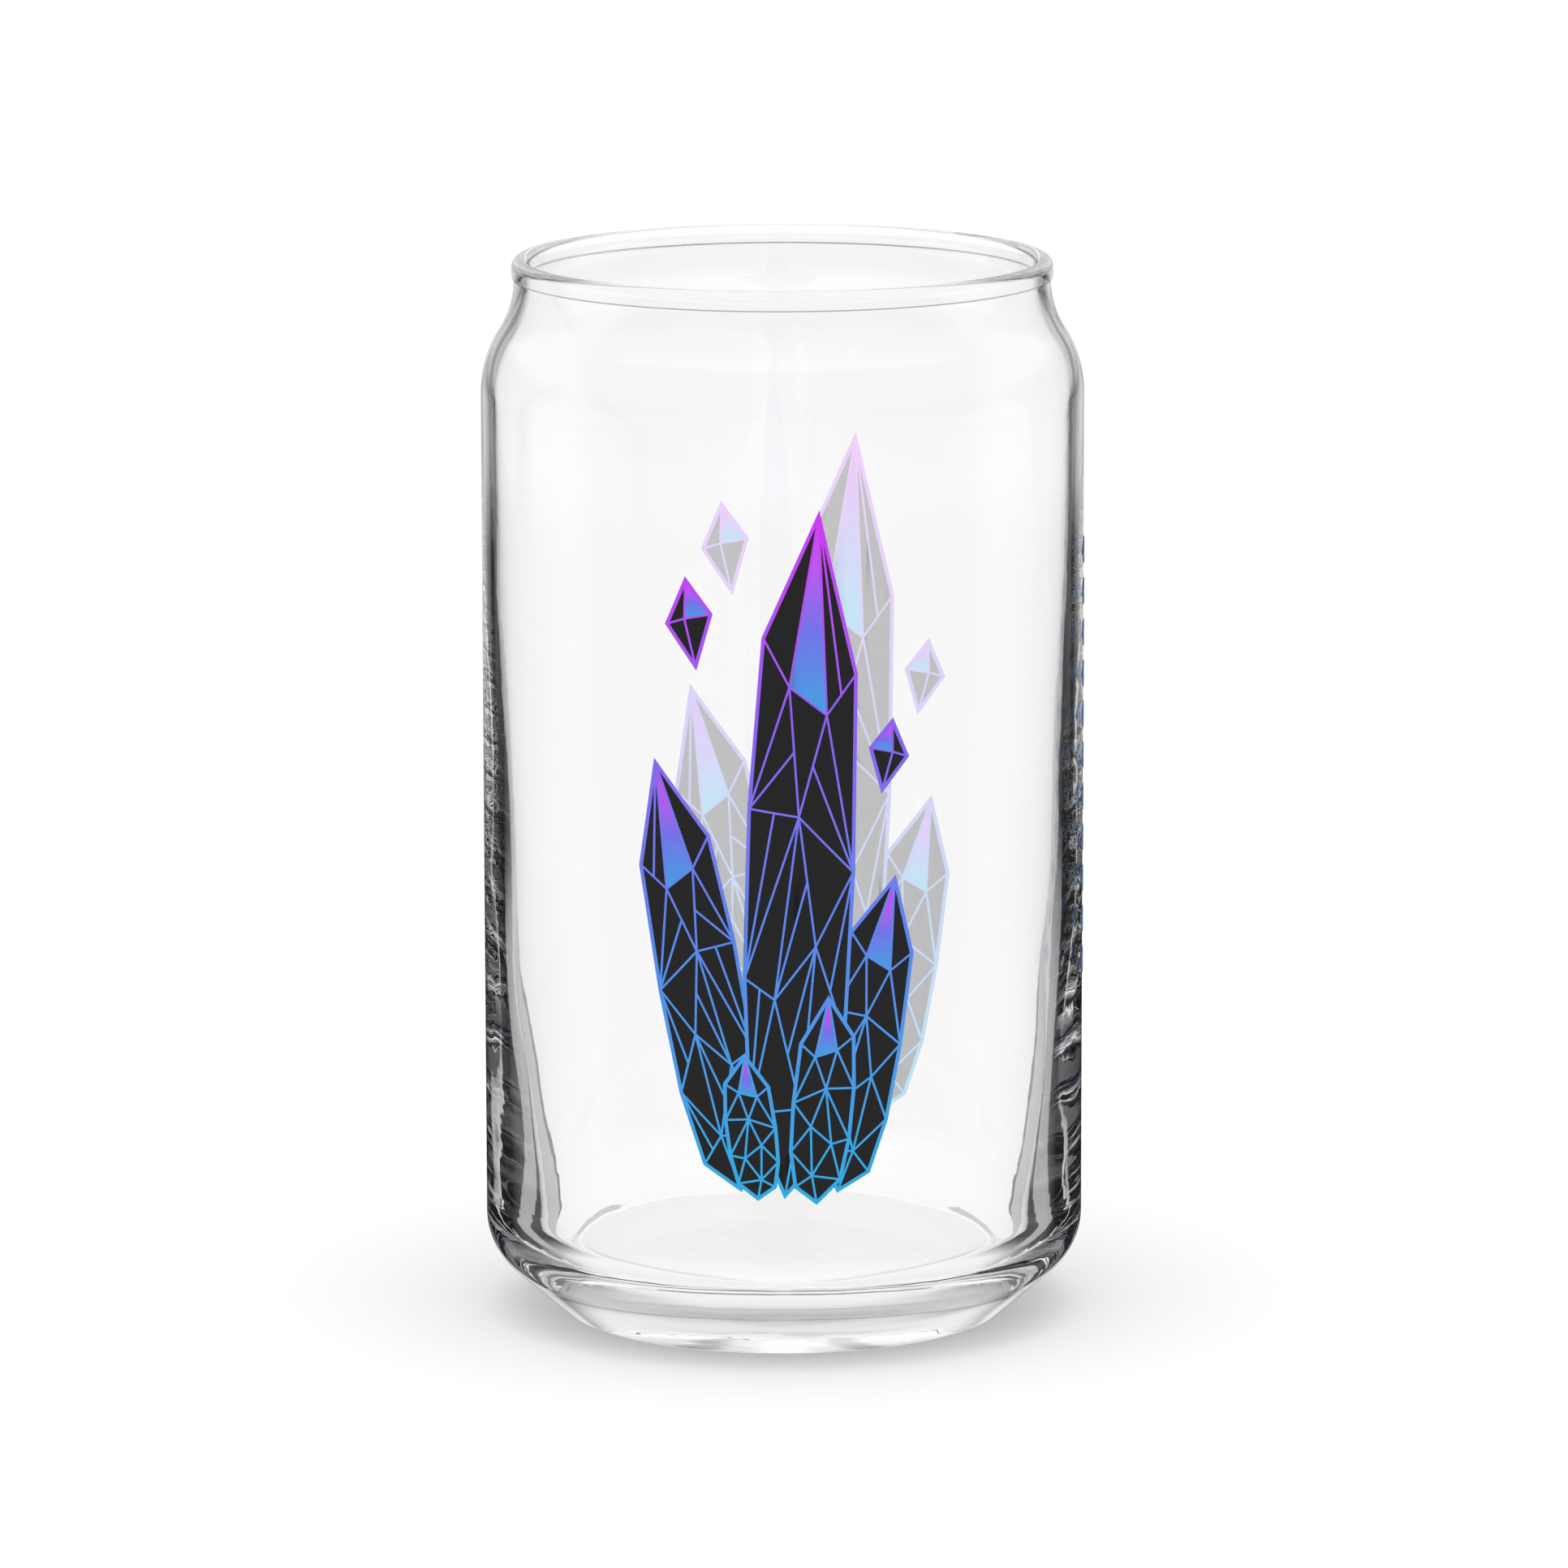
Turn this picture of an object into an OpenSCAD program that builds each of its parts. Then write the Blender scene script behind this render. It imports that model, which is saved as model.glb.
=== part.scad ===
// Can shaped drinking glass: one piece of clear glass with a printed front.
// Millimetres, +Z up, the glass stands on z = 0 and its axis is the Z axis.
// The printed front faces -Y.

/* [Body] */
// Height of the glass
height = 133; // [120:1:150]
// Outer radius of the straight wall
body_r = 37.5; // [36:0.5:42]
// Drop from the top of the rim to the top of the straight wall
shoulder_drop = 16.7; // [14:0.1:20]
// Share of the shoulder's curve that bulges outwards
shoulder_split = 0.52; // [0.35:0.01:0.65]

/* [Rim] */
// Outer radius of the rounded lip
rim_r = 33.6; // [32.4:0.1:34.4]
// Thickness of the rounded lip
rim_wall = 2.2; // [1.9:0.1:2.6]
// Height of the lip, down to the crease under it
rim_h = 2.5; // [2.2:0.1:3.2]
// How deep the crease lies inside the lip
crease_depth = 0.3; // [0.15:0.05:0.5]

/* [Wall and base] */
// Wall thickness at the shoulder
wall_top = 1.75; // [1.4:0.05:2.1]
// Wall thickness where it reaches the floor
wall_foot = 6.2; // [4.5:0.1:7]
// Height of the floor inside
floor_t = 7.9; // [6:0.1:10]
// Radius of the fillet between floor and wall
floor_fillet = 6; // [4:0.25:8]

/* [Heel and foot] */
// Radius of the rounded heel
heel_r = 8.3; // [6:0.1:10]
// Slope of the cone under the heel, above the level
heel_slope = 41; // [36:1:46]
// Radius at which that cone would reach the ground
foot_r = 27.75; // [25:0.25:29]
// Rounding at the edge of the foot
foot_edge = 0.8; // [0.4:0.1:1.2]
// Width of the flat ring that the glass stands on
foot_ring = 2.4; // [1.5:0.1:4]
// Rise of the hollow under the base
push_up = 1.3; // [0.6:0.1:2]

/* [Print] */
// Thickness of the printed layer
ink_t = 0.1; // [0.05:0.05:0.2]
// Height of the lowest printed point
print_z = 21.5; // [19:0.5:22]
// Clearance between the highest printed point and the shoulder
print_gap = 0.5; // [0.3:0.1:6]
// Sideways offset of the middle of the print
print_x = 0.3; // [-1:0.1:1]
// Width of the printed lines round a crystal
edge_line = 0.45; // [0.3:0.05:0.5]
// Width of the printed lines between its facets
facet_line = 0.26; // [0.2:0.02:0.36]
// How far the pale echo lies to the right
echo_x = 4.4; // [2:0.1:5]
// How far the pale echo lies above
echo_z = 9.4; // [6:0.1:9.5]

/* [Side marks] */
// Angle of the row of marks, from the front towards the right
mark_angle = 86; // [70:1:110]
// Height of the lowest mark
mark_z = 42; // [30:1:50]
// Width of a mark
mark_w = 4.6; // [3:0.1:6]
// Height of a mark
mark_h = 3.4; // [2:0.1:4]
// Distance from mark to mark
mark_pitch = 5.2; // [4.5:0.1:6]
// Number of marks
mark_count = 11; // [5:1:12]

/* [Hidden] */
round_fn = 96;
arc_steps = 16;
lip_steps = 8;
eps = 0.01;

// Heights and radii that follow from the sizes above
wall_z = height - shoulder_drop;
crease_z = height - rim_h;
crease_r = rim_r - crease_depth;
lip_r = rim_wall / 2;
lip_z = height - lip_r;
lip_under = min(crease_depth, (rim_h - lip_r) / 2);

// The crystals and their echo above them fill the straight wall up to the clearance
print_h = wall_z - print_gap - echo_z - print_z;

// The shoulder is two arcs that meet on a slope and end upright
shoulder_in = body_r - crease_r;
shoulder_rise = crease_z - wall_z;
shoulder_sum = (shoulder_in * shoulder_in + shoulder_rise * shoulder_rise) / (2 * shoulder_in);
bulge_r = shoulder_sum * shoulder_split;
hollow_r = shoulder_sum - bulge_r;
shoulder_turn = asin(shoulder_rise / shoulder_sum);

// The inner wall is one long arc, upright at the shoulder and thicker at the foot
inner_top_r = body_r - wall_top;
inner_drop = wall_z - floor_t;
inner_sag = wall_foot - wall_top;
inner_arc_r = (inner_drop * inner_drop + inner_sag * inner_sag) / (2 * inner_sag);
fillet_z = floor_t + floor_fillet;
fillet_fall = wall_z - fillet_z;
fillet_reach = inner_arc_r - floor_fillet;
fillet_turn = asin(fillet_fall / fillet_reach);
fillet_x = inner_top_r - inner_arc_r + fillet_reach * cos(fillet_turn);

// The heel is an arc from the cone to the upright wall
heel_x = body_r - heel_r;
heel_z = (heel_r + (heel_x - foot_r) * sin(heel_slope)) / cos(heel_slope);
edge_x = foot_r - foot_edge * tan(heel_slope / 2);
ring_in_r = edge_x - foot_ring;
push_r = (ring_in_r * ring_in_r + push_up * push_up) / (2 * push_up);
push_turn = asin(ring_in_r / push_r);

// Points of an arc round (cx, cy), from the angle a0 to the angle a1
function arc(cx, cy, r, a0, a1, steps = arc_steps) =
    [for (i = [0:steps]) let (a = a0 + (a1 - a0) * i / steps) [cx + r * cos(a), cy + r * sin(a)]];

// Half section of the glass: up the outside, over the lip and down the inside
function outside_section() = concat(
    arc(0, push_up - push_r, push_r, 90, 90 - push_turn),
    arc(edge_x, foot_edge, foot_edge, -90, heel_slope - 90, 6),
    arc(heel_x, heel_z, heel_r, heel_slope - 90, 0),
    arc(body_r - bulge_r, wall_z, bulge_r, 0, shoulder_turn),
    arc(crease_r + hollow_r, crease_z, hollow_r, 180 + shoulder_turn, 180),
    arc(rim_r - lip_under, crease_z + lip_under, lip_under, -90, 0, 4),
    arc(rim_r - lip_r, lip_z, lip_r, 0, 90, lip_steps));

function inside_section() = concat(
    arc(rim_r - lip_r, lip_z, lip_r, 90 + 90 / lip_steps, 180, lip_steps - 1),
    arc(crease_r + hollow_r, crease_z, hollow_r + wall_top, 180, 180 + shoulder_turn),
    arc(body_r - bulge_r, wall_z, bulge_r - wall_top, shoulder_turn, 0),
    arc(inner_top_r - inner_arc_r, wall_z, inner_arc_r, 0, -fillet_turn),
    arc(fillet_x, fillet_z, floor_fillet, -fillet_turn, -90),
    [[0, floor_t]]);

module glass() {
    color([0.86, 0.93, 0.95, 0.35])
        rotate_extrude($fn = round_fn)
            polygon(concat(outside_section(), inside_section()));
}

// A printed crystal in its own units: 1 wide and 1 high, standing on its tip
CRYSTAL = [[-0.04, 0], [0.34, 0.07], [0.47, 0.24], [0.50, 0.48], [0.46, 0.77],
           [0.06, 1], [-0.42, 0.82], [-0.50, 0.57], [-0.49, 0.32], [-0.40, 0.12],
           [-0.16, 0.75], [0.20, 0.71], [-0.03, 0.56], [0.17, 0.37], [-0.20, 0.29], [0.08, 0.13]];
// The points of its edge. The others are where its facets meet.
CRYSTAL_EDGE = [0, 1, 2, 3, 4, 5, 6, 7, 8, 9];
// A facet is a fan: its hub, the two ends of its far side, and the parts of that side
CRYSTAL_FACETS = [[5, 6, 10, 1], [5, 11, 4, 2], [6, 7, 10, 1], [7, 12, 10, 2], [11, 10, 12, 1],
                  [4, 3, 11, 1], [3, 11, 12, 2], [8, 7, 12, 2], [8, 12, 14, 1], [14, 12, 13, 2],
                  [3, 12, 13, 1], [3, 13, 2, 2], [9, 14, 8, 2], [9, 15, 14, 1], [13, 14, 15, 2],
                  [2, 15, 13, 1], [2, 1, 15, 2], [15, 0, 1, 1], [15, 9, 0, 1]];
CRYSTAL_GLOW = [[5, 10, 11, 1]];

// A small printed gem in its own units, drawn the same way
GEM = [[0, 0], [0.5, 0.58], [0.05, 1], [-0.5, 0.52], [-0.10, 0.56]];
GEM_EDGE = [0, 1, 2, 3];
GEM_FACETS = [[4, 0, 1, 1], [4, 2, 3, 1], [4, 3, 0, 2]];
GEM_GLOW = [[4, 1, 2, 1]];

// Each shape of the cluster, in shares of the tallest crystal's height: x, z, width,
// height, then its lean to the right in degrees, 1 or -1 for its mirror image, and 1 for
// a gem. A shape hides those that come after it.
CLUSTER = [[0.040, 0.000, 0.085, 0.30, 5, -1, 0],
           [-0.038, 0.006, 0.070, 0.21, -7, 1, 0],
           [0.004, 0.010, 0.152, 0.99, 2, 1, 0],
           [-0.070, 0.018, 0.118, 0.63, -10, -1, 0],
           [0.078, 0.016, 0.104, 0.46, 9, 1, 0],
           [-0.128, 0.780, 0.064, 0.125, -8, 1, 1],
           [0.138, 0.600, 0.054, 0.100, 10, -1, 1]];
last = len(CLUSTER) - 1;

function area(p) = let (n = len(p))
    sum([for (i = [0:n - 1]) p[i][0] * p[(i + 1) % n][1] - p[(i + 1) % n][0] * p[i][1]]) / 2;
function sum(v, i = 0) = i < len(v) ? v[i] + sum(v, i + 1) : 0;

// A convex outline with each side moved inwards by d
function inset(p, d) = let (n = len(p), s = sign(area(p)))
    [for (i = [0:n - 1])
        let (a = p[(i + n - 1) % n], b = p[i], c = p[(i + 1) % n],
             u = (b - a) / norm(b - a), v = (c - b) / norm(c - b),
             nu = s * [-u[1], u[0]], nv = s * [-v[1], v[0]])
        b + d * (nu + nv) / (1 + nu * nv)];

// A point of a shape in millimetres on the flat print
function placed(shape, p) =
    let (x = p[0] * shape[2] * shape[5], z = p[1] * shape[3], t = shape[4])
    [print_x, print_z] + print_h * [shape[0] + x * cos(t) + z * sin(t), shape[1] - x * sin(t) + z * cos(t)];
function points(shape) = [for (p = shape[6] == 1 ? GEM : CRYSTAL) placed(shape, p)];
function edge_points(shape) =
    let (p = points(shape)) [for (i = shape[6] == 1 ? GEM_EDGE : CRYSTAL_EDGE) p[i]];

// The triangles of a fan f over the points p, fewer of them on a shorter shape
function fan(p, f, share) =
    let (parts = ceil(f[3] * share), from = p[f[1]], step = (p[f[2]] - from) / parts)
    [for (i = [0:parts - 1]) [p[f[0]], from + i * step, from + (i + 1) * step]];

// Outer edge of shape k of the cluster, grown by half an edge line, or by less
module shape_outline(k, less = 0) {
    polygon(inset(edge_points(CLUSTER[k]), less - edge_line / 2));
}

// A triangle too thin to hold a field of ink between its lines is left out
function holds_ink(t) =
    abs(area(t)) / (norm(t[1] - t[0]) + norm(t[2] - t[1]) + norm(t[0] - t[2])) > facet_line / 2;

// Facets of shape k, each drawn in by its lines, or only its glowing facets
module shape_facets(k, glow) {
    shape = CLUSTER[k];
    plain = shape[6] == 1 ? GEM_FACETS : CRYSTAL_FACETS;
    bright = shape[6] == 1 ? GEM_GLOW : CRYSTAL_GLOW;
    intersection() {
        union() {
            for (f = glow ? bright : plain, triangle = fan(points(shape), f, shape[3]))
                if (holds_ink(triangle)) polygon(inset(triangle, facet_line / 2));
        }
        polygon(inset(edge_points(shape), edge_line / 2));
    }
}

// The shapes in front of shape k, which hide it
module shapes_before(k, less = 0) {
    if (k > 0)
        for (i = [0:k - 1]) shape_outline(i, less);
}

module cluster_outline() {
    for (k = [0:last]) shape_outline(k);
}

module cluster_facets(glow) {
    for (k = [0:last])
        difference() {
            shape_facets(k, glow);
            shapes_before(k);
        }
}

// The lines of a hidden shape run a little way under the edge line in front of them
module cluster_lines() {
    for (k = [0:last])
        difference() {
            shape_outline(k);
            shape_facets(k, false);
            shape_facets(k, true);
            shapes_before(k, edge_line / 4);
        }
}

// A flat drawing laid on the front of the straight wall, as a layer of ink
module on_front() {
    intersection() {
        difference() {
            cylinder(r = body_r + ink_t, h = wall_z, $fn = round_fn);
            translate([0, 0, -eps]) cylinder(r = body_r, h = wall_z + 2 * eps, $fn = round_fn);
        }
        rotate([90, 0, 0]) linear_extrude(height = body_r + 2 * ink_t) children();
    }
}

// The echo is the same cluster, moved, and hidden behind the first one
module as_echo() {
    difference() {
        translate([echo_x, echo_z]) children();
        cluster_outline();
    }
}

module crystal_fields() {
    color([0.12, 0.12, 0.13]) on_front() cluster_facets(false);
}

module crystal_lines() {
    color([0.52, 0.36, 0.92]) on_front() cluster_lines();
}

module crystal_glow() {
    color([0.62, 0.40, 0.95]) on_front() cluster_facets(true);
}

module echo_fields() {
    color([0.77, 0.77, 0.78]) on_front() as_echo() cluster_facets(false);
}

module echo_lines() {
    color([0.88, 0.80, 0.96]) on_front() as_echo() cluster_lines();
}

module echo_glow() {
    color([0.86, 0.85, 0.98]) on_front() as_echo() cluster_facets(true);
}

// A row of small lozenges up the right side
module side_marks() {
    color([0.25, 0.45, 0.78])
        rotate([0, 0, mark_angle])
            on_front()
                for (i = [0:mark_count - 1])
                    translate([0, mark_z + (i + 0.5) * mark_pitch])
                        polygon([[0, -mark_h / 2], [mark_w / 2, 0], [0, mark_h / 2], [-mark_w / 2, 0]]);
}

glass();
crystal_fields();
crystal_lines();
crystal_glow();
echo_fields();
echo_lines();
echo_glow();
side_marks();
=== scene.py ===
# %% [markdown]
# # A drinking glass in the shape of a drinks can
# One piece of clear glass, printed on the front, stands on a white table. Clear glass has no
# colour of its own: what the eye reads as glass is the bent and mirrored picture of the room
# round it. So this lesson spends its effort on three things: a very smooth and true surface,
# the print, and a room that gives the edges their dark bands and bright streaks.
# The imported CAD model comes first: the glass takes its height and width from it, and the print
# is made from its nodes.

import bmesh
import bpy
import numpy as np
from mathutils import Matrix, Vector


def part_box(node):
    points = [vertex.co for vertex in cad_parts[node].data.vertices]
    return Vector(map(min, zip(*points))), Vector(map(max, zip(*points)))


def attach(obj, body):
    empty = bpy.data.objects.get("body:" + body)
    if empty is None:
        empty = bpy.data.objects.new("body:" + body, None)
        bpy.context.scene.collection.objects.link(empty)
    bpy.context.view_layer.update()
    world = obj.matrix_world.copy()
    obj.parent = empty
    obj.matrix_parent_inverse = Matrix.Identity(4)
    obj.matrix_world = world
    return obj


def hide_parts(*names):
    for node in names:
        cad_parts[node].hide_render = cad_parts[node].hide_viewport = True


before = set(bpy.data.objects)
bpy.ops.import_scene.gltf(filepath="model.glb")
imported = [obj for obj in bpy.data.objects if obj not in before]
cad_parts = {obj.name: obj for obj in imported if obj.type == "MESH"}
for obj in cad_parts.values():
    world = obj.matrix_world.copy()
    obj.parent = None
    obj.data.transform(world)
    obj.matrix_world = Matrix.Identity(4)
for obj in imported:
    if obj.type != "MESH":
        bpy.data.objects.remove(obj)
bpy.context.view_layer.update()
MM = 0.001
_, glass_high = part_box("glass")
HEIGHT = glass_high.z / MM
BODY_R = glass_high.x / MM
print(f"glass: {HEIGHT:.1f} mm high, {2 * BODY_R:.1f} mm across")


# %% [markdown]
# ## The half section
# A glass is made in a mould that turns true, so its shape is one outline swept round the axis.
# The outline could be drawn by hand as a curve, but a real mould is laid out in arcs and
# straight lines, and so is this one. All lengths are in millimetres, and the arcs follow from
# a few sizes: the lip, the neck, the shoulder, the wall that grows thicker downwards, the
# heel, the cone under it and the hollow under the base.

# %% Sizes of the section
SHOULDER_DROP = 16.7
SHOULDER_SPLIT = 0.52
RIM_R, RIM_WALL, RIM_H, CREASE = 33.6, 2.2, 2.5, 0.3
WALL_TOP, WALL_FOOT = 1.75, 6.2
FLOOR_T, FLOOR_FILLET = 7.9, 6.0
HEEL_R, HEEL_SLOPE = 8.3, np.radians(41)
FOOT_R, FOOT_EDGE, FOOT_RING, PUSH_UP = 27.75, 0.8, 2.4, 1.3
STEP = 0.45
CORNER = 0.12


def arc(centre, radius, start, end, step=STEP):
    """Points of an arc: centre + radius * (cos a, sin a), with a running evenly from start to end."""
    count = max(6, int(np.ceil(abs(end - start) * radius / step)))
    a = np.linspace(start, end, count + 1)
    return np.stack([centre[0] + radius * np.cos(a), centre[1] + radius * np.sin(a)], axis=1)


def line(start, end, step):
    """Points between two ends, the ends left out: start + (end - start) * t for even steps of t."""
    start, end = np.array(start), np.array(end)
    count = max(2, int(np.ceil(np.linalg.norm(end - start) / step)))
    t = np.linspace(0, 1, count + 1)[1:-1, None]
    return start + (end - start) * t


def joined(*parts):
    """Parts of a section end to end: a point that repeats the one before it is left out."""
    points = np.concatenate([np.asarray(part, float) for part in parts])
    step = np.linalg.norm(np.diff(points, axis=0), axis=1)
    return points[np.concatenate([[True], step > 1e-4])]


# %% [markdown]
# The outside is built from the base up. Where two arcs meet on a common slope they need no
# fillet. Where the base turns from hollow to flat, and in the crease under the lip, a pair of
# points close to the corner keeps the shading of one face from running into the next.

# %% The outside, from the middle of the base to the top of the lip
wall_z = HEIGHT - SHOULDER_DROP
crease_z = HEIGHT - RIM_H
crease_r = RIM_R - CREASE
lip_r = RIM_WALL / 2
lip_z = HEIGHT - lip_r
lip_under = min(CREASE, (RIM_H - lip_r) / 2)

run, rise = BODY_R - crease_r, crease_z - wall_z
reach = (run**2 + rise**2) / (2 * run)
bulge_r = reach * SHOULDER_SPLIT
hollow_r = reach - bulge_r
turn = np.arcsin(rise / reach)
bulge_centre = (BODY_R - bulge_r, wall_z)
hollow_centre = (crease_r + hollow_r, crease_z)

heel_x = BODY_R - HEEL_R
heel_z = (HEEL_R + (heel_x - FOOT_R) * np.sin(HEEL_SLOPE)) / np.cos(HEEL_SLOPE)
edge_x = FOOT_R - FOOT_EDGE * np.tan(HEEL_SLOPE / 2)
ring_r = edge_x - FOOT_RING
push_r = (ring_r**2 + PUSH_UP**2) / (2 * PUSH_UP)
push_turn = np.arcsin(ring_r / push_r)
QUARTER = np.pi / 2


def outside():
    """The outer half section: base hollow, standing ring, cone, heel, wall, shoulder, crease and lip."""
    hollow = arc((0, PUSH_UP - push_r), push_r, QUARTER, QUARTER - push_turn, 1.0)
    edge = arc((edge_x, FOOT_EDGE), FOOT_EDGE, -QUARTER, HEEL_SLOPE - QUARTER, 0.1)
    heel = arc((heel_x, heel_z), HEEL_R, HEEL_SLOPE - QUARTER, 0)
    bulge = arc(bulge_centre, bulge_r, 0, turn)
    neck = arc(hollow_centre, hollow_r, np.pi + turn, np.pi)
    under = arc((RIM_R - lip_under, crease_z + lip_under), lip_under, -QUARTER, 0, 0.06)
    lip = arc((RIM_R - lip_r, lip_z), lip_r, 0, QUARTER, 0.15)
    ring = [[ring_r + CORNER, 0], [edge_x - CORNER, 0]]
    crease = [[crease_r, crease_z - CORNER], [crease_r, crease_z - CORNER / 4]]
    return joined(
        hollow, ring, edge, line(edge[-1], heel[0], 0.6), heel,
        line(heel[-1], bulge[0], 3.0), bulge, neck[:-1], crease, under, lip)


outer = outside()
print(f"outside: {len(outer)} points, heel ends at z {heel_z:.1f} mm, neck radius {crease_r:.1f} mm")


# %% [markdown]
# The inside keeps an even wall round the shoulder, so its arcs share the centres of the outer
# ones. Below the shoulder the photograph shows the wall growing from 1.75 mm to over 5 mm,
# and the outside stays straight. One long arc does that, with a fillet into the flat floor.

# %% The inside, from the top of the lip down to the middle of the floor
inner_top_r = BODY_R - WALL_TOP
drop, sag = wall_z - FLOOR_T, WALL_FOOT - WALL_TOP
long_r = (drop**2 + sag**2) / (2 * sag)
fillet_z = FLOOR_T + FLOOR_FILLET
fillet_turn = np.arcsin((wall_z - fillet_z) / (long_r - FLOOR_FILLET))
fillet_x = inner_top_r - long_r + (long_r - FLOOR_FILLET) * np.cos(fillet_turn)


def inside():
    """The inner half section: lip, neck, shoulder, the long arc of the wall, fillet and floor."""
    lip = arc((RIM_R - lip_r, lip_z), lip_r, QUARTER, 2 * QUARTER, 0.15)
    neck = arc(hollow_centre, hollow_r + WALL_TOP, np.pi, np.pi + turn)
    bulge = arc(bulge_centre, bulge_r - WALL_TOP, turn, 0)
    wall = arc((inner_top_r - long_r, wall_z), long_r, 0, -fillet_turn, 1.5)
    fillet = arc((fillet_x, fillet_z), FLOOR_FILLET, -fillet_turn, -QUARTER, 0.3)
    floor = line(fillet[-1], (0, FLOOR_T), 1.0)
    return joined(lip[1:], neck, bulge, wall, fillet, floor, [[0, FLOOR_T]])


inner = inside()
print(f"inside: {len(inner)} points, floor {FLOOR_T} mm thick, flat to radius {fillet_x:.1f} mm")


# %% [markdown]
# ## The glass
# The section is turned into a surface of two parameters: the place along the section and the
# angle round the axis. Blender's Screw modifier could sweep it too, but a function leaves room
# for what a mould never gives: a dead even wall. The inner wall of a real glass is drawn by
# the hot glass itself and wanders by a few hundredths of a millimetre. That is too little to
# see as a shape, but it makes the streaks in the edges waver, as they do in the photograph.
# The wander is strongest low down, where the wall is thick, and fades out at the floor and at
# the shoulder. It is a sum of waves. Each has a count round the axis, a drift with height, a
# start and a size in millimetres.

# %% Sweeping a section round the axis
TURNS = 288
WAVES = ((3, 1.3, 0.3, 0.050), (7, -2.1, 1.9, 0.045), (11, 3.2, 0.8, 0.022), (17, -4.4, 2.6, 0.008))
DRIFT = 20
FOOT_GAP, FOOT_FADE, TOP_FADE = 2, 10, 25
CALM, CALM_Z, CALM_FADE = 0.25, 75, 35


def wander(radius, height, angle):
    """The inner wall's radius with its waver, in mm: the radius plus the sum of
    size * sin(count * angle + drift * height + start), faded at the floor and higher up."""
    total = 0
    for around, up, phase, size in WAVES:
        total = total + size * np.sin(around * angle + up * height / DRIFT + phase)
    foot = np.clip((height - FLOOR_T - FOOT_GAP) / FOOT_FADE, 0, 1)
    fade = CALM + (1 - CALM) * np.clip((CALM_Z - height) / CALM_FADE, 0, 1)
    top = np.clip((wall_z - height) / TOP_FADE, 0, 1)
    return radius + total * foot * fade * top


def swept(name, outer, inner):
    """A closed surface: point (r, z) of the section at angle t is (r cos t, r sin t, z). The two
    ends of the section lie on the axis, and each is one vertex with a fan of triangles."""
    section = np.concatenate([outer, inner])
    ring = section[1:-1]
    angle = np.arange(TURNS) * 2 * np.pi / TURNS
    r = np.repeat(ring[:, :1], TURNS, axis=1)
    z = np.repeat(ring[:, 1:], TURNS, axis=1)
    t = np.repeat(angle[None, :], len(ring), axis=0)
    first_inner = len(outer) - 1
    r[first_inner:] = wander(r[first_inner:], z[first_inner:], t[first_inner:])
    grid = np.stack([r * np.cos(t), r * np.sin(t), z], axis=-1).reshape(-1, 3)
    ends = np.array([[0, 0, section[0, 1]], [0, 0, section[-1, 1]]])
    points = np.concatenate([grid, ends]) * MM
    i, j = np.meshgrid(np.arange(len(ring) - 1), np.arange(TURNS), indexing="ij")
    k = (j + 1) % TURNS
    quads = np.stack([i * TURNS + j, i * TURNS + k, (i + 1) * TURNS + k, (i + 1) * TURNS + j], -1)
    a, b = np.arange(TURNS), (np.arange(TURNS) + 1) % TURNS
    top = (len(ring) - 1) * TURNS
    under = np.stack([np.full(TURNS, len(grid)), b, a], axis=-1)
    over = np.stack([np.full(TURNS, len(grid) + 1), top + a, top + b], axis=-1)
    mesh = bpy.data.meshes.new(name)
    mesh.from_pydata(points.tolist(), [], quads.reshape(-1, 4).tolist() + under.tolist() + over.tolist())
    mesh.polygons.foreach_set("use_smooth", np.ones(len(mesh.polygons), bool))
    mesh.update()
    piece = bpy.data.objects.new(name, mesh)
    bpy.context.scene.collection.objects.link(piece)
    return piece


vessel = swept("vessel", outer, inner)
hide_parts("glass")
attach(vessel, "root")
print(f"vessel: {len(vessel.data.vertices)} vertices, {len(vessel.data.polygons)} faces")


# %% [markdown]
# ## Building materials
# Every finish below is a small tree of shader nodes. One helper adds a node, sets its options
# and joins its inputs, so that a material reads as a list of steps. A number goes straight
# onto the socket, and a socket of another node is linked.

# %% A helper for node trees
def add(tree, kind, inputs=None, **options):
    """Adds one shader node. inputs maps a socket's name or number to a value or to a socket."""
    made = tree.nodes.new("ShaderNode" + kind)
    for key, value in options.items():
        setattr(made, key, value)
    for key, value in (inputs or {}).items():
        socket = made.inputs[key]
        if isinstance(value, bpy.types.NodeSocket):
            tree.links.new(value, socket)
        else:
            socket.default_value = value
    return made


def linear(red, green, blue):
    """A colour given as 0 to 255 on a screen, as the linear colour that shaders use."""
    c = np.array([red, green, blue]) / 255
    c = np.where(c <= 0.04045, c / 12.92, ((c + 0.055) / 1.055) ** 2.4)
    return (*c.tolist(), 1.0)


def material(name):
    """An empty material with its output node."""
    made = bpy.data.materials.new(name)
    made.use_nodes = True
    made.node_tree.nodes.clear()
    return made, made.node_tree, add(made.node_tree, "OutputMaterial")


# %% [markdown]
# ## Clear glass
# The glass is a Principled shader with full transmission. It could be a bare Glass shader, but
# the Principled one is what other programs can read. Its smoothness is never perfect: a mould
# leaves a faint skin of long, low waves, and the thick base keeps the swirl of the hot drop
# that it was pressed from. Three layers of noise give these as bumps: waves stretched along
# the axis, a swirl that only the base has, and a very fine grain. The underside takes the matt
# skin of the mould, so it is the one rough part of the glass.

# %% The material of the vessel
GLASS_IOR = 1.5
WAVE_DEPTH, SWIRL_DEPTH, GRAIN_DEPTH = 0.00006, 0.00016, 0.000003
SWIRL_FULL, SWIRL_NONE = 0.008, 0.015
UNDERSIDE_Z, UNDERSIDE_R, UNDERSIDE_ROUGH = 0.0015, 0.0273, 0.3
EDGE_SOFT = 0.0001


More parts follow.
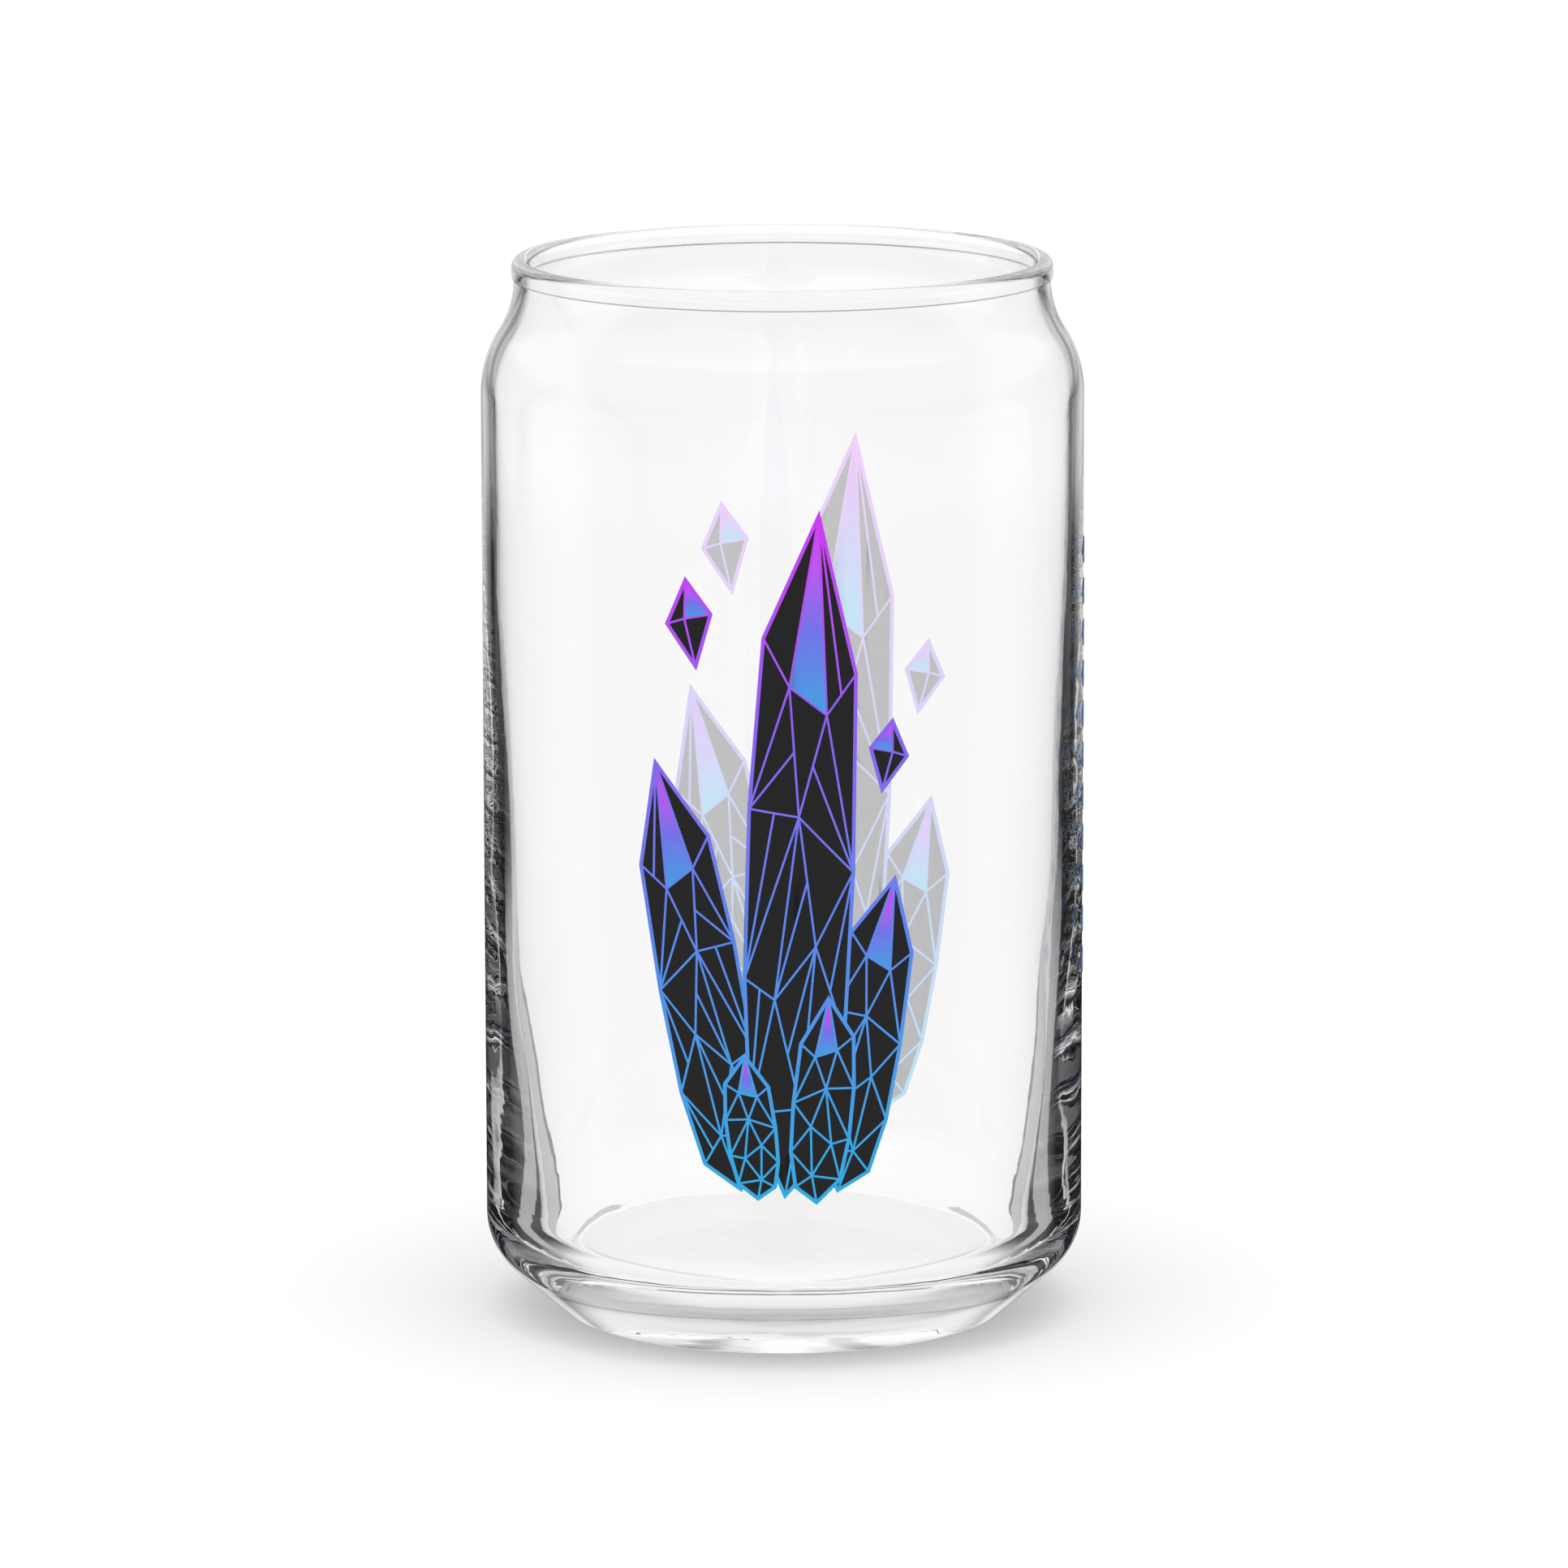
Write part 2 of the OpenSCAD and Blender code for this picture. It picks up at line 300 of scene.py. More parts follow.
def clear_glass():
    """Clear glass: three bumps one on the other, and a rough disc where the glass is both lower
    than the top of the base's hollow and nearer the axis than the edge of the foot."""
    made, tree, out = material("clear_glass")
    place = add(tree, "TexCoord").outputs["Object"]
    tall = add(tree, "Mapping", {"Vector": place, "Scale": (1, 1, 0.25)}).outputs[0]
    skin = add(tree, "TexNoise", {"Vector": tall, "Scale": 90, "Detail": 2, "Roughness": 0.4})
    fine = add(tree, "TexNoise", {"Vector": place, "Scale": 420, "Detail": 1, "Roughness": 0.5})
    waves = add(tree, "Bump", {"Height": skin.outputs[0], "Strength": 1.0, "Distance": WAVE_DEPTH})
    part = add(tree, "SeparateXYZ", {0: place})
    deep = add(tree, "MapRange", {"Value": part.outputs["Z"], "From Min": SWIRL_FULL, "From Max": SWIRL_NONE,
                                  "To Min": 1.0, "To Max": 0.0})
    level = add(tree, "Mapping", {"Vector": place, "Scale": (1, 1, 3)}).outputs[0]
    flow = add(tree, "TexNoise", {"Vector": level, "Scale": 32, "Detail": 1, "Distortion": 1.0})
    flowing = add(tree, "Math", {0: flow.outputs[0], 1: deep.outputs[0]}, operation="MULTIPLY")
    swirl = add(tree, "Bump", {"Height": flowing.outputs[0], "Strength": 1.0, "Distance": SWIRL_DEPTH,
                               "Normal": waves.outputs[0]})
    grain = add(tree, "Bump", {"Height": fine.outputs[0], "Strength": 1.0, "Distance": GRAIN_DEPTH,
                               "Normal": swirl.outputs[0]})
    low = add(tree, "MapRange", {"Value": part.outputs["Z"], "From Min": UNDERSIDE_Z + EDGE_SOFT,
                                 "From Max": UNDERSIDE_Z - EDGE_SOFT})
    flat = add(tree, "CombineXYZ", {0: part.outputs["X"], 1: part.outputs["Y"]})
    out_there = add(tree, "VectorMath", {0: flat.outputs[0]}, operation="LENGTH").outputs["Value"]
    under = add(tree, "MapRange", {"Value": out_there, "From Min": UNDERSIDE_R + EDGE_SOFT,
                                   "From Max": UNDERSIDE_R - EDGE_SOFT})
    base = add(tree, "Math", {0: low.outputs[0], 1: under.outputs[0]}, operation="MULTIPLY")
    rough = add(tree, "MapRange", {"Value": base.outputs[0], "To Min": 0.0, "To Max": UNDERSIDE_ROUGH})
    shader = add(tree, "BsdfPrincipled", {
        "Base Color": (1, 1, 1, 1), "Roughness": rough.outputs[0], "IOR": GLASS_IOR,
        "Transmission Weight": 1.0, "Normal": grain.outputs[0]})
    tree.links.new(shader.outputs[0], out.inputs["Surface"])
    return made


vessel.data.materials.append(clear_glass())
print("clear glass on the vessel")


# %% [markdown]
# ## The print
# The print is ink fired onto the outside of the straight wall. The CAD nodes have its true
# outlines, but as loose triangles with flat shading. A copy of each, with its doubled vertices
# merged and its curved faces shaded smooth, looks like ink on a round wall. Each separate
# field of ink also stores how high each vertex stands in its own field, from 0 to 1, because
# the glowing facets fade from top to bottom one by one.

# %% Copies of the printed nodes
MERGE_WITHIN, SHARP_ANGLE = 0.000001, np.radians(30)
THINNEST = 0.0001


def fields_of(mesh):
    """The number of the connected field that each vertex belongs to: the lowest vertex number
    spreads along the edges until nothing changes."""
    ends = np.empty(len(mesh.edges) * 2, np.int32)
    mesh.edges.foreach_get("vertices", ends)
    a, b = ends.reshape(-1, 2).T
    label = np.arange(len(mesh.vertices))
    while True:
        low = np.minimum(label[a], label[b])
        spread = label.copy()
        np.minimum.at(spread, a, low)
        np.minimum.at(spread, b, low)
        spread = spread[spread]
        if np.array_equal(spread, label):
            return label
        label = spread


def ink(name, node):
    """A printed piece: a merged and smoothed copy of a CAD node, with its height in each field."""
    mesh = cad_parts[node].data.copy()
    mesh.name = name
    work = bmesh.new()
    work.from_mesh(mesh)
    bmesh.ops.remove_doubles(work, verts=work.verts, dist=MERGE_WITHIN)
    work.to_mesh(mesh)
    work.free()
    mesh.polygons.foreach_set("use_smooth", np.ones(len(mesh.polygons), bool))
    mesh.set_sharp_from_angle(angle=SHARP_ANGLE)
    label = fields_of(mesh)
    place = np.empty(len(mesh.vertices) * 3)
    mesh.vertices.foreach_get("co", place)
    height = place.reshape(-1, 3)[:, 2]
    low, high = np.full(len(label), np.inf), np.full(len(label), -np.inf)
    np.minimum.at(low, label, height)
    np.maximum.at(high, label, height)
    share = (height - low[label]) / np.maximum(high[label] - low[label], THINNEST)
    mesh.attributes.new("field_height", "FLOAT", "POINT").data.foreach_set("value", share)
    mesh.materials.clear()
    piece = bpy.data.objects.new(name, mesh)
    bpy.context.scene.collection.objects.link(piece)
    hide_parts(node)
    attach(piece, "root")
    print(f"{name}: {len(np.unique(label))} fields, {len(mesh.polygons)} triangles")
    return piece


# %% [markdown]
# ## Inks
# Fired ink is opaque and slightly glossy, and it never covers quite evenly. Each ink is a
# Principled shader whose colour comes from the height on the glass or in the field, with a
# slight unevenness from noise, a roughness that varies a little and a very fine bump.

# %% One function for every ink
INK_BUMP = 0.000006
INK_COVER = (0.96, 1.04)
INK_ROUGH = (0.32, 0.46)
INK_IOR, INK_GLOSS = 1.45, 0.2


def ink_material(name, stops, source="height", low=0.0, high=1.0):
    """Ink whose colour runs through stops = [(share, colour)]. The share is the height on the
    glass between low and high in metres, or the height in the piece's own field."""
    made, tree, out = material(name)
    place = add(tree, "TexCoord").outputs["Object"]
    if source == "height":
        along = add(tree, "SeparateXYZ", {0: place}).outputs["Z"]
    else:
        along = add(tree, "Attribute", attribute_name="field_height").outputs["Fac"]
    share = add(tree, "MapRange", {"Value": along, "From Min": low, "From Max": high})
    ramp = add(tree, "ValToRGB", {0: share.outputs[0]})
    ramp.color_ramp.elements[0].position, ramp.color_ramp.elements[0].color = stops[0]
    ramp.color_ramp.elements[1].position, ramp.color_ramp.elements[1].color = stops[-1]
    for position, colour in stops[1:-1]:
        ramp.color_ramp.elements.new(position).color = colour
    cover = add(tree, "TexNoise", {"Vector": place, "Scale": 900, "Detail": 3})
    shade = add(tree, "MapRange", {"Value": cover.outputs[0], "To Min": INK_COVER[0],
                                   "To Max": INK_COVER[1]})
    uneven = add(tree, "VectorMath", {0: ramp.outputs[0], "Scale": shade.outputs[0]}, operation="SCALE")
    gloss = add(tree, "MapRange", {"Value": cover.outputs[0], "To Min": INK_ROUGH[0],
                                   "To Max": INK_ROUGH[1]})
    skin = add(tree, "Bump", {"Height": cover.outputs[0], "Strength": 1.0, "Distance": INK_BUMP})
    shader = add(tree, "BsdfPrincipled", {
        "Base Color": uneven.outputs[0], "Roughness": gloss.outputs[0], "IOR": INK_IOR,
        "Specular IOR Level": INK_GLOSS, "Normal": skin.outputs[0]})
    tree.links.new(shader.outputs[0], out.inputs["Surface"])
    return made


# %% [markdown]
# The bright lines run from magenta at the top through violet and blue to light blue at the
# bottom of the print. The echo behind is the same drawing washed out to pale tints. The black
# is written a little darker than it looks, because the gloss of the ink lifts it.

# %% Inks on their pieces
PRINT_LOW, PRINT_HIGH = (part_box("crystal_lines")[i].z for i in (0, 1))
ECHO_LOW, ECHO_HIGH = (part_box("echo_lines")[i].z for i in (0, 1))
CYAN, BLUE, VIOLET, MAGENTA = (42, 172, 224), (92, 132, 232), (136, 96, 236), (205, 52, 240)
BRIGHT = [(0.0, linear(*CYAN)), (0.40, linear(*BLUE)), (0.68, linear(*VIOLET)),
          (1.0, linear(*MAGENTA))]
PALE = [(0.0, linear(190, 228, 246)), (0.5, linear(214, 214, 248)), (1.0, linear(240, 208, 252))]
GLOW = [(0.0, linear(58, 158, 224)), (0.45, linear(112, 112, 232)), (1.0, linear(214, 60, 240))]
PALE_GLOW = [(0.0, linear(190, 232, 246)), (1.0, linear(240, 200, 250))]
BLACK = [(0.0, linear(25, 25, 27)), (1.0, linear(23, 23, 25))]
GREY = [(0.0, linear(188, 188, 190)), (1.0, linear(194, 194, 195))]
MARK = [(0.0, linear(70, 128, 190)), (1.0, linear(60, 116, 184))]

crystal_fields = ink("ink_fields", "crystal_fields")
crystal_fields.data.materials.append(ink_material("black_ink", BLACK, low=PRINT_LOW, high=PRINT_HIGH))
crystal_lines = ink("ink_lines", "crystal_lines")
crystal_lines.data.materials.append(ink_material("bright_ink", BRIGHT, low=PRINT_LOW, high=PRINT_HIGH))
crystal_glow = ink("ink_glow", "crystal_glow")
crystal_glow.data.materials.append(ink_material("glow_ink", GLOW, source="field"))
echo_fields = ink("ink_echo_fields", "echo_fields")
echo_fields.data.materials.append(ink_material("grey_ink", GREY, low=ECHO_LOW, high=ECHO_HIGH))
echo_lines = ink("ink_echo_lines", "echo_lines")
echo_lines.data.materials.append(ink_material("pale_ink", PALE, low=ECHO_LOW, high=ECHO_HIGH))
echo_glow = ink("ink_echo_glow", "echo_glow")
echo_glow.data.materials.append(ink_material("pale_glow_ink", PALE_GLOW, source="field"))
side_marks = ink("ink_side_marks", "side_marks")
side_marks.data.materials.append(ink_material("blue_ink", MARK, low=PRINT_LOW, high=PRINT_HIGH))


# %% [markdown]
# ## The room
# The photograph was taken in a bright white room, and yet the sides of the glass are black.
# That is how clear glass is lit: light that goes straight through meets a white screen, while
# light that is mirrored inside the wall comes from the dark parts of the studio, cut by the
# narrow edges of lamps and cards. Real cards could stand round the glass as meshes, but each
# would also shade the table and tint the print. So the world's shader tells light apart by the
# path of its ray:
# - A ray that only passed through sees the screens: white, with grey gaps.
# - A ray that was mirrored once inside the glass sees the dark studio.
# - A ray that was mirrored on the outside sees pale walls, and the dark studio straight behind.
# - A ray that was mirrored inside more than once sees a black room, white above and below.
# - A ray that ran up inside the wall, mirrored more than twenty times, sees white: the lip
#   glows with it.
# - A ray that left the table or the ink sees a plain sky, so that colours look as written.
#
# Directions are given in two parts: the azimuth round the axis, and `up`, the height of the
# ray's direction from -1 straight down to 1 straight up.

# %% Arithmetic in the world's node tree
def maths(tree, operation, a, b=0.0, c=0.0, clamp=False):
    """One step of arithmetic on values or sockets."""
    return add(tree, "Math", {0: a, 1: b, 2: c}, operation=operation, use_clamp=clamp).outputs[0]


def spread(tree, value, low, high, start, end):
    """value between low and high moved to between start and end along a smooth step."""
    return add(tree, "MapRange", {"Value": value, "From Min": low, "From Max": high, "To Min": start,
                                  "To Max": end}, interpolation_type="SMOOTHSTEP").outputs[0]


def band(tree, value, middle, half, soft):
    """1 where value lies within half of middle, falling to 0 over soft beyond that."""
    away = maths(tree, "ABSOLUTE", maths(tree, "SUBTRACT", value, middle))
    return spread(tree, away, half, half + soft, 1.0, 0.0)


def choose(tree, test, yes, no):
    """yes where test is 1, no where it is 0, and a mix between."""
    return add(tree, "Mix", {0: test, 2: no, 3: yes}, data_type="FLOAT").outputs[0]


def product(tree, a, b):
    """a times b."""
    return maths(tree, "MULTIPLY", a, b)


def largest(tree, first, *others):
    """The largest of several values."""
    for other in others:
        first = maths(tree, "MAXIMUM", first, other)
    return first


def angle_from(tree, azimuth, middle):
    """How far the azimuth is from the middle, without a sign."""
    return maths(tree, "ABSOLUTE", maths(tree, "SUBTRACT", azimuth, middle))


# %% [markdown]
# The screens stand behind the glass as the eye sees it, and they repeat every 90 degrees, so
# that the glass looks alike from its four sides. Between them are grey gaps. Glass bends light
# most at its sides, so only there does the eye see round a screen into the gap, and that draws
# the grey band along the inner edge of the black one.

# %% The screens
SCREEN, SCREEN_TOP, SCREEN_GAP = 1.02, 0.965, 0.53
ABOVE_SCREEN, DARK_EDGE = 0.35, 0.12
GAP_MIDDLE, GAP_HALF, GAP_SOFT = np.radians(26), np.radians(5.5), np.radians(0.5)
LOW_SCREEN, SCREEN_END = (-0.165, -0.14), (0.08, 0.15)
EDGE_UP, EDGE_HALF = -0.325, 0.02


def screens(tree, quarter, up):
    """Brightness behind the glass: white screens with grey gaps between them. Low down the
    screens have a thin dark edge, and high up they end."""
    away = maths(tree, "ABSOLUTE", quarter)
    gap = band(tree, away, GAP_MIDDLE, GAP_HALF, GAP_SOFT)
    edge = band(tree, away, GAP_MIDDLE - GAP_HALF, GAP_SOFT, GAP_SOFT)
    low_edge = product(tree, edge, band(tree, up, EDGE_UP, EDGE_HALF, EDGE_HALF))
    high = spread(tree, up, *SCREEN_END, 0.0, 1.0)
    screen = spread(tree, up, *LOW_SCREEN, SCREEN, SCREEN_TOP)
    plain = choose(tree, high, ABOVE_SCREEN, choose(tree, gap, SCREEN_GAP, screen))
    return choose(tree, low_edge, DARK_EDGE, plain)


# %% [markdown]
# The studio is black low down and pale higher up. Its upper part has a dark gap that leans,
# because the shoulder bends light up and sideways at once: the gap is what draws the dark line
# down each side of the shoulder. A pair of values below is the range over which one brightness
# passes into the next.

# %% The upper studio
EIGHTH = np.pi / 4
WALL_AHEAD, WALL_ASIDE, WALL_LEAN = 0.8, 0.45, 0.9
WALL_TURN = np.radians(12), np.radians(18)
DARK_GAP, DARK_END = 0.08, (1.60, 1.75)
DARK_MIDDLE, DARK_HALF, DARK_SOFT = np.radians(24), np.radians(1.0), np.radians(3.5)


def pale_walls(tree, quarter, azimuth, up):
    """Brightness of the upper studio: pale ahead, greyer to the sides, with a dark gap between.
    All lean: their angle is the angle from straight ahead plus nine tenths of the height. The
    gap is left out to the right and in front."""
    lean = maths(tree, "MULTIPLY_ADD", up, WALL_LEAN, maths(tree, "ABSOLUTE", quarter))
    pale = spread(tree, lean, *WALL_TURN, WALL_AHEAD, WALL_ASIDE)
    gap = band(tree, lean, DARK_MIDDLE, DARK_HALF, DARK_SOFT)
    turned = maths(tree, "SUBTRACT", azimuth, 3 * EIGHTH)
    beyond = maths(tree, "ABSOLUTE", maths(tree, "WRAP", turned, np.pi, -np.pi))
    gap = product(tree, gap, spread(tree, beyond, *DARK_END, 1.0, 0.0))
    return choose(tree, gap, DARK_GAP, pale)


# %% [markdown]
# Behind the glass stand two narrow cards. They are bent, so that their light runs down the
# wall as a wavering white streak.

# %% The cards
CARD, CARD_TOP = 0.9, (-0.205, -0.19)
CARD_SIDE, CARD_HALF, CARD_SOFT = np.radians(14), np.radians(1.4), np.radians(0.8)
CARD_BEND, CARD_WAVES = np.radians(3.5), 85


def cards(tree, behind, up):
    """Brightness of the two low cards: white within a narrow angle at each side of straight
    behind, and that angle swings to and fro as a sine of the height."""
    waves = maths(tree, "SINE", product(tree, up, CARD_WAVES))
    bent = maths(tree, "ADD", behind, product(tree, waves, CARD_BEND))
    card = band(tree, bent, CARD_SIDE, CARD_HALF, CARD_SOFT)
    return product(tree, card, spread(tree, up, *CARD_TOP, CARD, 0.0))


# %% [markdown]
# Light that comes out of the glass steeply meets the table, which is pale. That brightens the
# cone of the base. Light that comes out less steeply meets it only straight behind the glass
# and, as a grey patch, at each side, so that the band in the lower wall stays dark.

# %% The table, as light from inside the glass meets it
TABLE_WHITE, TABLE_GREY = 0.9, 0.38
NEAR_TURN = np.radians(10), np.radians(14)
NEAR_UP, GREY_UP, FAR_UP = (-0.26, -0.34), (-0.27, -0.31), (-0.42, -0.7)
GREY_SIDE, GREY_HALF, GREY_SOFT = np.radians(40), np.radians(5), np.radians(1)


def pale_table(tree, behind, up):
    """Brightness of the table: pale where light comes out steeply, a little earlier straight
    behind the glass, and grey in a patch at each side."""
    ahead = spread(tree, behind, *NEAR_TURN, 1.0, 0.0)
    near = product(tree, ahead, spread(tree, up, *NEAR_UP, 0.0, TABLE_WHITE))
    patch = band(tree, behind, GREY_SIDE, GREY_HALF, GREY_SOFT)
    grey = product(tree, patch, spread(tree, up, *GREY_UP, 0.0, TABLE_GREY))
    far = spread(tree, up, *FAR_UP, 0.0, TABLE_WHITE)
    return largest(tree, far, near, grey)


# %% [markdown]
# The studio adds these up. It is what light sees that was mirrored once inside the wall.

# %% The dark studio
BEHIND = 2 * EIGHTH
DARKEST, OVERHEAD = 0.012, 0.9
WALL_FROM, OVERHEAD_FROM = (-0.195, -0.155), (0.12, 0.38)


def dark_studio(tree, quarter, azimuth, up, entered):
    """Brightness of the studio: black low down, pale walls higher up, bright overhead, the pale
    table below, and the cards, which only light inside the glass meets."""
    higher = spread(tree, up, *WALL_FROM, 0.0, 1.0)
    ground = choose(tree, higher, pale_walls(tree, quarter, azimuth, up), DARKEST)
    behind = angle_from(tree, azimuth, BEHIND)
    lit_cards = product(tree, cards(tree, behind, up), entered)
    overhead = spread(tree, up, *OVERHEAD_FROM, 0.0, OVERHEAD)
    lights = maths(tree, "ADD", lit_cards, maths(tree, "ADD", overhead, pale_table(tree, behind, up)))
    return maths(tree, "ADD", ground, lights, clamp=True)


# %% [markdown]
# Light that is mirrored more than once has lost its way. It mostly sees black, which keeps the
# thick edges dark, but for the room's white ceiling and floor, which make the cone of the base
# bright. Light mirrored on the very outside of the glass sees pale walls, as a sheen over the
# sides. Light that crossed the glass and was then mirrored sees white behind and above, and a
# dimmer room in front, where the photographer stands.

# %% Light from other paths
DEEPER, DEEP_GAP, DEEP_TURN = 1.0, 0.3, (np.radians(1), np.radians(3))
CEILING, ROOM_FLOOR = (0.50, 0.75), (-0.40, -0.56)
PALE_OUTSIDE, OUTSIDE_LEAN = 0.95, 3.0
OUTSIDE_TURN = np.radians(9), np.radians(23)
DIM_FRONT, FRONT_TO_BACK, UPWARD = 0.4, (-0.2, 0.2), (-0.12, -0.02)


def deep_room(tree, side, up):
    """Brightness for light mirrored more than once: white above and below, and black round
    the glass but for narrow pale gaps."""
    gaps = spread(tree, maths(tree, "ABSOLUTE", side), *DEEP_TURN, DEEP_GAP, DARKEST)
    above = spread(tree, up, *CEILING, 0.0, 1.0)
    below = spread(tree, up, *ROOM_FLOOR, 0.0, 1.0)
    return choose(tree, largest(tree, above, below), DEEPER, gaps)


def outer_walls(tree, azimuth, up):
    """Brightness for light mirrored on the outside: pale, and black straight behind the glass.
    The black part is wider the more steeply the light goes down."""
    turned = maths(tree, "MULTIPLY_ADD", up, OUTSIDE_LEAN, angle_from(tree, azimuth, BEHIND))
    return spread(tree, turned, *OUTSIDE_TURN, 0.0, PALE_OUTSIDE)


def far_room(tree, forward, up):
    """Brightness for light mirrored after it crossed the glass: white behind the glass and
    above, dim in front."""
    upward = spread(tree, up, *UPWARD, 0.0, 1.0)
    return largest(tree, upward, spread(tree, forward, *FRONT_TO_BACK, DIM_FRONT, DEEPER))


# %% [markdown]
# The world's shader puts these together. How often a ray was mirrored is its Glossy Depth, and
# how often it passed a surface of the glass is its Transmission Depth. The sky that lights the
# print and the table is stronger in front, as the soft shadow in the photograph shows. It
# doesn't reach the table through the glass, so the table keeps its shadow. Light on the back of
# the ink has crossed the whole glass. It is picked out by its depth and written stronger, so
# that the back of the print keeps its colours when it is seen through the glass.

# %% The world
SKY, SKY_LEAN, SHADED, BEHIND_INK = 1.0, 0.35, 0.0, 3.1
TWICE, GUIDED = 1.5, 20.5
CROSSED, BEHIND_GLASS = 2.5, 4.5


def room():
    """The world: one brightness for each kind of path, picked by the depths of the ray."""
    world = bpy.data.worlds.new("room")
    world.use_nodes = True
    tree = world.node_tree
    tree.nodes.clear()
    part = add(tree, "SeparateXYZ", {0: add(tree, "TexCoord").outputs["Generated"]})
    forward, up = part.outputs["Y"], part.outputs["Z"]
    azimuth = maths(tree, "ARCTAN2", forward, part.outputs["X"])
    side = maths(tree, "WRAP", azimuth, EIGHTH / 2, -EIGHTH / 2)
    quarter = maths(tree, "WRAP", azimuth, EIGHTH, -EIGHTH)
    path = add(tree, "LightPath")
    entered = maths(tree, "GREATER_THAN", path.outputs["Transmission Depth"], 0.5)
    crossed = maths(tree, "GREATER_THAN", path.outputs["Transmission Depth"], CROSSED)
    inside = maths(tree, "GREATER_THAN", path.outputs["Transmission Depth"], BEHIND_GLASS)
    mirrored = maths(tree, "GREATER_THAN", path.outputs["Glossy Depth"], 0.5)
    often = maths(tree, "GREATER_THAN", path.outputs["Glossy Depth"], TWICE)
    guided = maths(tree, "GREATER_THAN", path.outputs["Glossy Depth"], GUIDED)
    scattered = maths(tree, "GREATER_THAN", path.outputs["Diffuse Depth"], 0.5)
    touched = largest(tree, entered, mirrored)

    behind = choose(tree, entered, screens(tree, quarter, up), 1.0)
    studio = dark_studio(tree, quarter, azimuth, up, entered)
    deep = choose(tree, often, deep_room(tree, side, up), studio)
    first = choose(tree, entered, deep, largest(tree, outer_walls(tree, azimuth, up), deep))
    returned = choose(tree, crossed, far_room(tree, forward, up), first)
    reflected = choose(tree, guided, DEEPER, returned)
    seen = choose(tree, mirrored, reflected, behind)

    sky = maths(tree, "MULTIPLY_ADD", forward, -SKY_LEAN * SKY, SKY)
    lit = choose(tree, inside, BEHIND_INK, choose(tree, touched, SHADED, sky))
    strength = choose(tree, scattered, lit, seen)
    shader = add(tree, "Background", {"Color": (1, 1, 1, 1), "Strength": strength})
    out = add(tree, "OutputWorld")
    tree.links.new(shader.outputs[0], out.inputs["Surface"])
    return world


bpy.context.scene.world = room()
print(f"the room is lit, by {len(bpy.context.scene.world.node_tree.nodes)} nodes")


# %% [markdown]
# ## Table and lamp
# The table is plain and pale. It receives the soft shadow of the glass. The camera sees it
# brighter than it is, up to white, which is what an overexposed table does in a photograph,
# and no light on the glass has to be raised for it. Rays inside the glass pass it by, so that
# the glass shows the white room behind it. One soft lamp overhead deepens the shadow a little.

# %% The table
TABLE_R = 6.0
TABLE_COLOUR = (0.67, 0.67, 0.672, 1)
TABLE_LIFT = 0.36


def white_table():
    """Plain paper with a very faint grain, and a glow that only the camera sees."""
    made, tree, out = material("white_table")
    place = add(tree, "TexCoord").outputs["Object"]
    grain = add(tree, "TexNoise", {"Vector": place, "Scale": 300, "Detail": 2})
    shade = add(tree, "MapRange", {"Value": grain.outputs[0], "To Min": 0.995, "To Max": 1.005})
    colour = add(tree, "VectorMath", {0: TABLE_COLOUR[:3], "Scale": shade.outputs[0]}, operation="SCALE")
    paper = add(tree, "BsdfDiffuse", {"Color": colour.outputs[0]})
    seen = add(tree, "LightPath").outputs["Is Camera Ray"]
    lift = add(tree, "Emission", {"Strength": maths(tree, "MULTIPLY", seen, TABLE_LIFT)})
    both = add(tree, "AddShader", {0: paper.outputs[0], 1: lift.outputs[0]})
    tree.links.new(both.outputs[0], out.inputs["Surface"])
    return made


